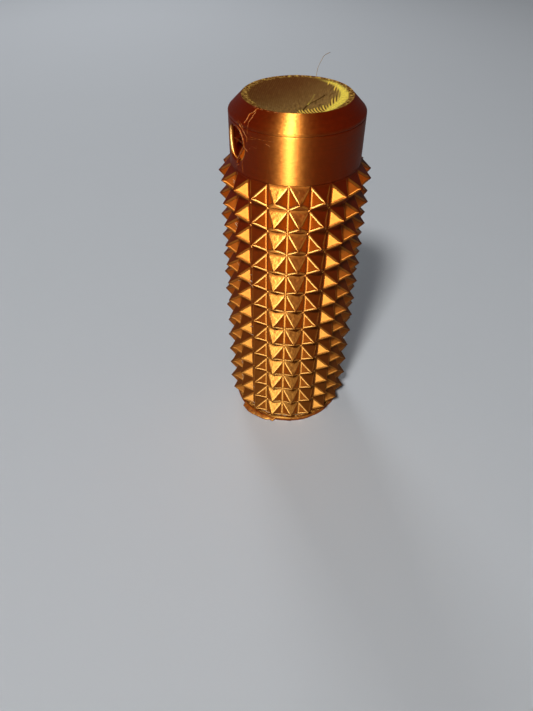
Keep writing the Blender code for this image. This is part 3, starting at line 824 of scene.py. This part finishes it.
def hole_loop(middle, low, high, centre, radius):
    """The outline of a wall patch round a hole, and the hole's direction for each of its points.

    The outline runs counterclockwise round the patch, in angle and level. The direction is that of
    the outline's point as seen from the hole's centre, so lines between the two never cross.
    """
    half, columns, rows = PATCH_HALF, PATCH_COLUMNS, PATCH_ROWS
    across = np.linspace(-half, half, columns + 1)
    up = np.linspace(low, high, rows + 1)
    angle = np.concatenate([across[:-1], np.full(rows, half), across[:0:-1], np.full(rows, -half)])
    level = np.concatenate([np.full(columns, low), up[:-1], np.full(columns, high), up[:0:-1]])
    direction = np.arctan2(level - centre, radius * np.sin(angle))
    return middle + angle, level, direction


def hole_grid(middle, inner, outer, top, hole, lip, edge):
    """Rings of points from the inner wall's patch through one end of the hole to the outer wall's.

    Each wall is given by its radius and its patch's lower level. A ring is the hole's circle of
    some size laid on a round wall, or a blend between it and a patch's outline. Where the hole
    opens, the rings follow a quarter circle, which is smaller at the hole's top and bottom.
    """
    centre = hole_level()
    angle_in, level_in, _ = hole_loop(middle, inner[1], top, centre, inner[0])
    angle_out, level_out, direction = hole_loop(middle, outer[1], top, centre, outer[0])

    def ring(wall, size, share=0, angle=0, level=0):
        offset = np.arcsin(size * np.cos(direction) / wall)
        mixed_angle = (1 - share) * (middle + offset) + share * angle
        mixed_level = (1 - share) * (centre + size * np.sin(direction)) + share * level
        return on_wall(wall, mixed_angle, mixed_level)

    lips = lip + (edge - lip) * smooth(np.sin(direction), 0.2, 0.9)
    rings = [ring(inner[0], hole + edge, share, angle_in, level_in) for share in (1, 0.66, 0.33, 0)]
    rings.append(ring(inner[0] + 0.3 * edge, hole + 0.3 * edge))
    for share in (0, 0.5, 1):
        rings.append(ring((1 - share) * (inner[0] + edge) + share * (outer[0] - lips), hole))
    for turn in np.linspace(0, pi / 2, 8)[1:]:
        rings.append(ring(outer[0] - lips * (1 - sin(turn)), hole + lips * (1 - cos(turn))))
    for share in (0.2, 0.5, 1):
        rings.append(ring(outer[0], hole + lips, share, angle_out, level_out))
    # The rings into the hole take the painted glow of the inside, and the lip's rings a painted highlight, strongest at
    # the hole's sides and gone at its top and bottom
    tones = [INSIDE_GLOW_TONE] * 4 + [PLAIN_TONE] * 3 + [RIDGE_HIGHLIGHT_TONE] + [LIP_HIGHLIGHT_TONE] * 4 + [-0.6, -0.2]
    tones = np.array(tones + [PLAIN_TONE] * 4)[:, None]
    pale = tones * smooth(np.abs(np.cos(direction)), 0.45, 0.85)
    return np.stack(rings), np.where(tones < 0, pale, tones)


def collar_shell():
    """The smooth collar: two round walls with the cross hole, a floor, and the spigot under it."""
    sizes = roller_sizes()
    radius, bend = node_radius("grip_collar"), sizes.edge_rounding
    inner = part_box("dished_cap")[1].x - COLLAR_WALL
    spigot_end, collar_top = levels("grip_collar")
    top = collar_top + SEAT_GAP - 0.5 * SHOWN_GAP
    bottom = levels("texture_sleeve")[1] + SHOWN_GAP
    head_top = levels("axle")[1]
    floor = head_top + SEAT_GAP
    shell = Shell()

    walls = ((inner, floor), (radius, bottom + bend))
    span = np.linspace(-PATCH_HALF, PATCH_HALF, PATCH_COLUMNS + 1)
    gap = np.linspace(PATCH_HALF, pi - PATCH_HALF, 61)
    angles = np.concatenate([span[:-1], gap[:-1], pi + span[:-1], pi + gap[:-1]])
    for middle in (0, pi):
        points, tones = hole_grid(
            middle, *walls, top - bend, sizes.hole_radius, sizes.hole_lip, 0.8 * bend
        )
        shell.grid(points, wrap=True, tones=tones)
        for wall, low in walls:
            angle, level = np.meshgrid(middle + gap, np.linspace(low, top - bend, PATCH_ROWS + 1))
            # the inner wall takes the painted glow
            shell.grid(on_wall(wall, angle, level), tones=INSIDE_GLOW_TONE * (wall == inner))

    recess = node_radius("axle") + SEAT_GAP
    axle_hole = AXLE_RADIUS + SEAT_GAP
    recess_floor = head_top - AXLE_HEAD_THICKNESS - SEAT_GAP
    spigot = node_radius("core_drum") + SEAT_GAP - SPIGOT_INSET
    rim = [(radius, top - 2 * bend), (radius, top), (inner, top), (inner, top - 2 * bend)]
    shell.grid(round_grid(rounded_profile(rim, bend)[1:-1], angles), wrap=True)
    under = [(radius, bottom + 2 * bend), (radius, bottom), (spigot, bottom)]
    below = [
        (spigot, spigot_end + SPIGOT_CHAMFER),
        (spigot - SPIGOT_CHAMFER, spigot_end),
        (axle_hole, spigot_end),
        (axle_hole, recess_floor),
        (recess, recess_floor),
        (recess, floor),
        (inner, floor),
    ]
    profile = np.concatenate([rounded_profile(under, bend)[1:], below])
    # the floor and recess inside the collar take the painted glow
    within = (profile[:, 0] < radius - bend) & (profile[:, 1] > recess_floor - bend)
    shell.grid(round_grid(profile, angles), wrap=True, tones=INSIDE_GLOW_TONE * within[:, None])
    obj = shell.piece("collar_shell", silk_wall(), "grip")
    # the large flat faces keep their own normal, so that only the bands beside edges look round
    obj.modifiers.new("even_faces", "WEIGHTED_NORMAL").weight = 60
    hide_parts("grip_collar")


def line_distance(x, y, corners):
    """The distance of each point from a broken line."""
    best = np.full(x.shape, 1.0)
    for start, end in zip(corners, corners[1:]):
        run = end - start
        across, up = x - start[0], y - start[1]
        share = np.clip((across * run[0] + up * run[1]) / (run @ run), 0, 1)
        best = np.minimum(best, np.hypot(across - share * run[0], up - share * run[1]))
    return best


def dish_marks(x, y):
    """The dish's marks, each from 0 to 1: bright crescent, comb beside it, rim band and scratch.

    Each follows a distance from the axis that is given at some azimuths and runs evenly between
    them. The comb rises from its inner end to the crescent. The scratch is a broken line, and a
    bright streak beside it belongs to the crescent.
    """
    radius, azimuth = np.hypot(x, y), np.degrees(np.arctan2(y, x))
    comb_edge, gold_edge, gold_end = (
        np.interp(azimuth, CRESCENT[:, 0], CRESCENT[:, column]) / 1000 for column in (1, 2, 3)
    )
    rim_edge = np.interp(azimuth, RIM_BAND[:, 0], RIM_BAND[:, 1]) / 1000
    ends = smooth(azimuth, -122, -114) * (1 - smooth(azimuth, 12, 42))
    crescent = smooth(radius, gold_edge - 0.0004, gold_edge + 0.0004)
    crescent *= ends * (1 - smooth(radius, gold_end - 0.0003, gold_end + 0.0006))
    comb = np.clip((radius - comb_edge) / 0.0018, 0, 1)
    comb *= ends * (1 - smooth(radius, gold_end - 0.0001, gold_end + 0.0004))
    rim = smooth(radius, rim_edge - 0.0003, rim_edge + 0.0003)
    dark_arc = 1 - smooth(line_distance(x, y, DARK_ARC), 0.00008, 0.00030)
    # a painted highlight streak beside the dark arc, part of the crescent
    highlight_streak = 0.18 * (1 - smooth(line_distance(x, y, HIGHLIGHT_STREAK), 0.00003, 0.00032))
    highlight_streak += 0.3 * (1 - smooth(line_distance(x, y, HIGHLIGHT_STREAK[:2]), 0.00003, 0.00025))
    return np.maximum(crescent, highlight_streak), comb, rim, dark_arc


def dish_height(x, y, rim_radius, rim_level):
    """The level of the dish at each point.

    The dish is a shallow ball's hollow. The printed lines stand a little proud of it, most of all
    in the comb beside the crescent, and the scratch is pressed into it.
    """
    sizes = roller_sizes()
    depth, layer = sizes.dish_depth, sizes.layer_height
    ball = (rim_radius**2 + depth**2) / (2 * depth)
    _, comb, rim, dark_arc = dish_marks(x, y)
    away = np.hypot(x - LINE_CENTRE[0], y - LINE_CENTRE[1])
    line = np.cos(2 * pi * away / sizes.line_width)
    tooth = np.cos(2 * pi * away / sizes.comb_pitch)
    level = rim_level - depth + ball - np.sqrt(ball**2 - x**2 - y**2)
    level += layer * (1 - rim) * (0.06 * line * (1 - comb) + 0.28 * tooth * comb)
    return level - 0.6 * layer * dark_arc


def plug_rows(outer, skirt, angles):
    """Rings down the plug's outside, under it and up its inside, arched over the cross hole."""
    plug = outer - COLLAR_WALL - SEAT_GAP
    bottom, hole = levels("dished_cap")[0], roller_sizes().hole_radius
    rows = []
    for radius in (plug, plug - PLUG_WALL):
        reach = np.abs(radius * np.sin(angles))
        arch = np.sqrt(np.maximum(hole**2 - np.minimum(reach, hole) ** 2, 0))
        foot = np.where(reach < hole, np.maximum(bottom, hole_level() + arch), bottom)
        foot = np.minimum(foot, skirt - SEAT_GAP)
        pair = [on_wall(radius, angles, at) for at in (np.full(angles.shape, skirt), foot)]
        rows += pair if radius == plug else pair[::-1]
    return rows


def dished_top():
    """The cap: a dish of printed lines, a rough rim, the chamfer, a band, and the plug ring."""
    sizes = roller_sizes()
    rim_level = levels("dished_cap")[1]
    outer, edge = node_radius("dished_cap"), cap_edge()
    rim_radius = outer - (rim_level - edge)
    dish_level = rim_level - DISH_DROP
    skirt = edge - CAP_BAND
    angles = full_circle(2 * sizes.segments)
    shell = Shell()
    share = np.linspace(0, 1, 110)[:, None] ** 0.85
    random = np.random.default_rng(8)
    fray = np.convolve(random.normal(0, 1, len(angles) + 4), np.ones(5) / 5, "valid") * DISH_FRAY
    radius = share * (rim_radius - 0.0002 + fray * share**6)
    x, y = radius * np.cos(angles), radius * np.sin(angles)
    level = dish_height(x, y, rim_radius, dish_level)
    level[0] = level[0].mean()
    level[-1] = dish_level + 0.6 * fray
    dish = np.stack([x, y, level], axis=-1)
    shell.grid(dish, wrap=True)

    # from the dish's edge over the rim, then down the chamfer and the band to the seam
    rim = (rim_radius, rim_level)
    crown = np.add(rim, [(-0.00004, -0.00002), (0.00012, -0.00016)])
    side = [np.add(rim, (0.0002, -0.00024)), (outer, edge), (outer, skirt), (outer - 0.0011, skirt)]
    walls = round_grid(np.concatenate([crown, rounded_profile(side, sizes.edge_rounding)]), angles)
    shell.grid(np.concatenate([dish[-1:], walls[:1]]), wrap=True)
    shell.grid(walls, wrap=True)
    middle = on_wall(0.0, angles, np.full(angles.shape, skirt))
    shell.grid(np.stack([walls[-1], *plug_rows(outer, skirt, angles), middle]), wrap=True)

    obj = shell.piece("dished_top", silk_wall(), "grip")
    mesh = obj.data
    mesh.materials.append(silk_dish())
    x, y = vectors(mesh.vertices, "co").astype(float).T[:2]
    for name, values in zip(DISH_MARKS, dish_marks(x, y)):
        mark(mesh, name, values)
    x, y, z = vectors(mesh.polygons, "center").T
    in_dish = (np.hypot(x, y) < rim_radius - 0.0001) & (z > edge + 0.0008)
    mesh.polygons.foreach_set("material_index", in_dish.astype(np.int32))
    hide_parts("dished_cap")


def grip_radius(level):
    """The distance of the grip's outside from the axis: the collar's wall, then the chamfer."""
    radius, rim, edge = node_radius("grip_collar"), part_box("dished_cap")[1].z, cap_edge()
    return np.interp(level, [edge, rim], [radius, radius - (rim - edge)])


def flowing(points, steps=6):
    """Points along a smooth curve that passes through all the given ones.

    Between two points it is the cubic whose slope at each is half the step between its neighbours.
    """
    points = np.asarray(points, float)
    row = np.concatenate([2 * points[:1] - points[1:2], points, 2 * points[-1:] - points[-2:-1]])
    t = (np.arange(steps) / steps)[:, None, None]
    a, b, c, d = row[:-3], row[1:-2], row[2:-1], row[3:]
    curve = b + 0.5 * t * (c - a + t * (2 * a - 5 * b + 4 * c - d + t * (3 * (b - c) + d - a)))
    return np.concatenate([curve.swapaxes(0, 1).reshape(-1, points.shape[1]), points[-1:]])


def tube(path, radius, guide, uneven=0.0, sides=8):
    """Rings of points round a path, drawn together to a point at both ends.

    A ring is a circle across the path. The radius swells and thins along the path by the share that
    uneven gives for each of its points.
    """
    along = np.gradient(path, axis=0)
    side = np.cross(along, guide)
    side /= np.linalg.norm(side, axis=1)[:, None]
    up = np.cross(side, along)
    up /= np.linalg.norm(up, axis=1)[:, None]
    size = radius * (1 + uneven) * np.ones(len(path))
    size[0] = size[-1] = 0
    turn = full_circle(sides)[:, None]
    circle = np.cos(turn) * side[:, None] + np.sin(turn) * up[:, None]
    return path[:, None] + size[:, None, None] * circle


def pulled_strands():
    """Strings on the grip: round the cross hole, as flecks on the rim, and as a wisp over it.

    Each is a tube along a smooth curve. On the grip the curve follows its outside, and the tube is
    sunk a little into it.
    """
    scale = roller_sizes().strand_scale
    random = np.random.default_rng(21)
    for name, strands in (("hole_strands", GRIP_STRANDS), ("grip_hairs", GRIP_HAIRS)):
        shell = Shell()
        for radius, places in strands:
            radius = radius / 1000 * scale
            azimuth, level = flowing(places).T
            azimuth, level = np.radians(azimuth), level / 1000
            path = on_wall(grip_radius(level) + 0.35 * radius, azimuth, level)
            uneven = random.uniform(-0.25, 0.25, len(path))
            shell.grid(tube(path, radius, outward(azimuth), uneven), wrap=True)
        shell.piece(name, string_copper(*STRAND_PLASTIC), "grip")
    path = flowing(WISP)
    guide = np.cross(np.gradient(path, axis=0), [0, 0, 1.0])
    wisp = Shell()
    wisp.grid(tube(path, WISP_RADIUS * scale, guide), wrap=True)
    wisp.piece("rim_wisp", string_copper(*HAIR_PLASTIC), "grip")


def stray_threads():
    """Fine threads between the studs of neighbouring columns, and one along the skin's lower edge.

    A thread is a tube that hangs in a slack curve from the flank of one stud to the next.
    """
    scale = roller_sizes().strand_scale
    random = np.random.default_rng(14)
    root, reach = node_radius("grip_collar"), node_radius("texture_sleeve")
    bottom, pitch = stud_rows()
    share = np.linspace(0, 1, 9)
    sag = 4 * share * (1 - share)
    shell = Shell()
    for number in range(THREAD_COUNT):
        column = THREAD_COLUMNS[number % len(THREAD_COLUMNS)]
        row = random.integers(0, ROW_COUNT)
        start, end = random.uniform(0.12, 0.34), random.uniform(0.66, 0.88)
        azimuth = COLUMN_PHASE + (column + start + share * (end - start)) * COLUMN_STEP
        height = row + 0.5 + random.uniform(-0.32, 0.32) + share * random.uniform(-0.3, 0.3)
        flank = 1 - 2 * np.abs((start, end) - np.round((start, end)))
        out = root + (reach - root) * 0.5 * np.interp(share, [0, 1], flank) * (1 - 0.5 * sag)
        path = on_wall(out, azimuth, bottom + height * pitch - 0.0005 * sag)
        radius = random.uniform(0.00004, 0.00008) * scale
        shell.grid(tube(path, radius, outward(azimuth), sides=6), wrap=True)
    azimuth = np.radians(np.linspace(-168, -96, 60))
    level = bottom - 0.00006 + 0.00008 * np.sin(azimuth * 37)
    path = on_wall(root + 0.0001 + 0.00012 * np.sin(azimuth * 53), azimuth, level)
    uneven = random.uniform(-0.4, 0.4, len(path))
    shell.grid(tube(path, 0.00010 * scale, outward(azimuth), uneven), wrap=True)
    shell.piece("stray_threads", string_copper(*HAIR_PLASTIC), "barrel")


def first_layer():
    """The squashed first layer round the base, with a ragged scrap of brim on one side.

    Its section is a low wedge, upright on the flange's wall. Its reach is a bead's all round, with
    a little noise, and between two azimuths the brim's.
    """
    sizes = roller_sizes()
    ring = node_radius("base_flange")
    angles = full_circle(480)
    random = np.random.default_rng(3)
    ragged = np.convolve(random.normal(0, 1, len(angles) + 8), np.ones(9) / 3, "valid")
    azimuth = (np.degrees(angles) + 180) % 360 - 180
    start, whole, ending, gone = BRIM_ENDS
    scrap = smooth(azimuth, start, whole) * (1 - smooth(azimuth, ending, gone))
    reach = sizes.bead_reach * (1 + 0.25 * ragged) + scrap * sizes.brim_reach * (1 + 0.10 * ragged)
    height = BEAD_HEIGHT - BRIM_THINNING * scrap + 0.00004 * ragged
    wall, ground = ring - 0.00015, 0.00003
    rows = [on_wall(wall, angles, np.full(angles.shape, ground))]
    for out, up in ((0.8, 0.03), (1.0, 0.2), (0.92, 0.42), (0.65, 0.68), (0.3, 0.92)):
        rows.append(on_wall(ring + out * reach, angles, ground + up * height))
    rows += [on_wall(wall, angles, ground + height), rows[0]]
    shell = Shell()
    shell.grid(np.stack(rows), wrap=True)
    shell.piece("first_layer", first_layer_copper(), "barrel")


def hidden_works():
    """Finishes of the flange and the inner parts, which keep their own packed shape."""
    bronze = turned_metal("sintered_bronze", "bronze", 0.42)
    steel = turned_metal("turned_steel", "steel", 0.30)
    finishes = {
        "core_drum": core_plastic(),
        "base_flange": silk_wall(),
        **dict.fromkeys(("upper_bush", "lower_bush", "thrust_washer"), bronze),
        **dict.fromkeys(("axle", "axle_cross_pin", "retaining_washer", "retaining_screw"), steel),
        **dict.fromkeys(("flange_screw_1", "flange_screw_2", "flange_screw_3"), steel),
    }
    for name, material in finishes.items():
        mesh = frame["nodes"][name].data
        mesh.materials.clear()
        mesh.materials.append(material)


def area_light(name, azimuth, elevation, distance, size, power, tone):
    """A square soft lamp that looks at the roller from a direction, in degrees, and a distance."""
    lamp = bpy.data.lights.new(name, "AREA")
    lamp.size = size
    lamp.energy = power
    lamp.color = tone
    obj = bpy.data.objects.new(name, lamp)
    azimuth, elevation = radians(azimuth), radians(elevation)
    back = np.array([cos(elevation) * cos(azimuth), cos(elevation) * sin(azimuth), sin(elevation)])
    obj.location = np.array(LAMP_TARGET) + distance * back
    obj.rotation_euler = Vector(-back).to_track_quat("-Z", "Y").to_euler()
    bpy.context.scene.collection.objects.link(obj)
    return obj


def stage():
    """A pale floor, soft lamps and the camera."""
    scene = bpy.context.scene
    scene.view_settings.view_transform = "Standard"
    mesh = bpy.data.meshes.new("floor")
    corners = FLOOR_REACH * np.array([(-1, -1, 0), (1, -1, 0), (1, 1, 0), (-1, 1, 0)])
    mesh.from_pydata(corners.tolist(), [], [(0, 1, 2, 3)])
    floor = bpy.data.objects.new("floor", mesh)
    scene.collection.objects.link(floor)
    graph = Graph("pale_floor")
    clouds = graph.spread(graph.noise(0.05, 3.0), 0.2, 0.8, 0.0, 0.06)
    tone = graph.blend(clouds, colour("floor"), colour("floor_cloud"))
    mesh.materials.append(graph.finish(Base_Color=tone, Roughness=0.9, Specular_IOR_Level=0.1))

    world = bpy.data.worlds.new("pale_room")
    world.use_nodes = True
    background = world.node_tree.nodes["Background"]
    background.inputs["Color"].default_value = colour("room")
    background.inputs["Strength"].default_value = 0.06
    scene.world = world

    area_light("key", -139, 48, distance=1.3, size=0.16, power=11.0, tone=(1.0, 0.99, 0.97))
    glint = area_light("glint", -129.2, 44, distance=0.18, size=0.013, power=2.9, tone=(1, 1, 1))
    glint.visible_diffuse = False
    glint.visible_camera = False
    rear = area_light("rear", 81, 33, distance=0.9, size=0.25, power=2.0, tone=(0.97, 0.98, 1.0))
    rear.visible_glossy = False

    camera = bpy.data.cameras.new("camera")
    camera.sensor_width = EYE_SENSOR
    camera.lens = EYE_LENS
    camera.clip_start = 0.005
    eye = bpy.data.objects.new("camera", camera)
    eye.location = EYE
    eye.rotation_euler = EYE_TURN
    scene.collection.objects.link(eye)
    scene.camera = eye


def roller_operator(work, label, text):
    """An operator class that makes one piece or group."""

    def execute(self, context):
        work()
        return {"FINISHED"}

    members = {
        "__doc__": text,
        "bl_idname": "roller." + work.__name__,
        "bl_label": label,
        "bl_options": {"REGISTER", "UNDO"},
        "execute": execute,
    }
    return type("ROLLER_OT_" + work.__name__, (bpy.types.Operator,), members)


OPERATORS = [
    roller_operator(studded_skin, "Studded skin", "Makes the studded sleeve"),
    roller_operator(groove_dots, "Groove dots", "Makes the blobs where grooves cross"),
    roller_operator(collar_shell, "Collar", "Makes the smooth collar with its cross hole"),
    roller_operator(dished_top, "Dished cap", "Makes the chamfered cap and its dish"),
    roller_operator(pulled_strands, "Pulled strings", "Makes the strings on the grip"),
    roller_operator(stray_threads, "Stray threads", "Makes the threads between the studs"),
    roller_operator(first_layer, "First layer", "Makes the first layer and its brim scrap"),
    roller_operator(hidden_works, "Working parts", "Finishes the packed working parts"),
    roller_operator(stage, "Stage", "Makes the floor, lamps and camera"),
]


class ROLLER_PT_pieces(bpy.types.Panel):
    """Lists the roller's pieces, sizes and colours"""
    bl_idname = "ROLLER_PT_pieces"
    bl_label = "Texture roller"
    bl_space_type = "VIEW_3D"
    bl_region_type = "UI"
    bl_category = "Roller"

    def draw(self, context):
        for operator in OPERATORS:
            self.layout.operator(operator.bl_idname)
        for group in (context.scene.roller_sizes, context.scene.roller_colours):
            for name in group.__annotations__:
                self.layout.prop(group, name)


CLASSES = [RollerSizes, RollerColours, *OPERATORS, ROLLER_PT_pieces]


def register():
    """Registers the classes, and hangs the sizes and colours on the scene."""
    for item in CLASSES:
        bpy.utils.register_class(item)
    bpy.types.Scene.roller_sizes = PointerProperty(type=RollerSizes)
    bpy.types.Scene.roller_colours = PointerProperty(type=RollerColours)


def unregister():
    """Takes back what register did."""
    del bpy.types.Scene.roller_colours
    del bpy.types.Scene.roller_sizes
    for item in reversed(CLASSES):
        bpy.utils.unregister_class(item)


def main():
    """Makes every piece and the stage, and writes the packed and the dressed roller's boxes."""
    register()
    for operator in OPERATORS:
        getattr(bpy.ops.roller, operator.bl_idname.split(".")[1])()


if __name__ == "__main__":
    main()
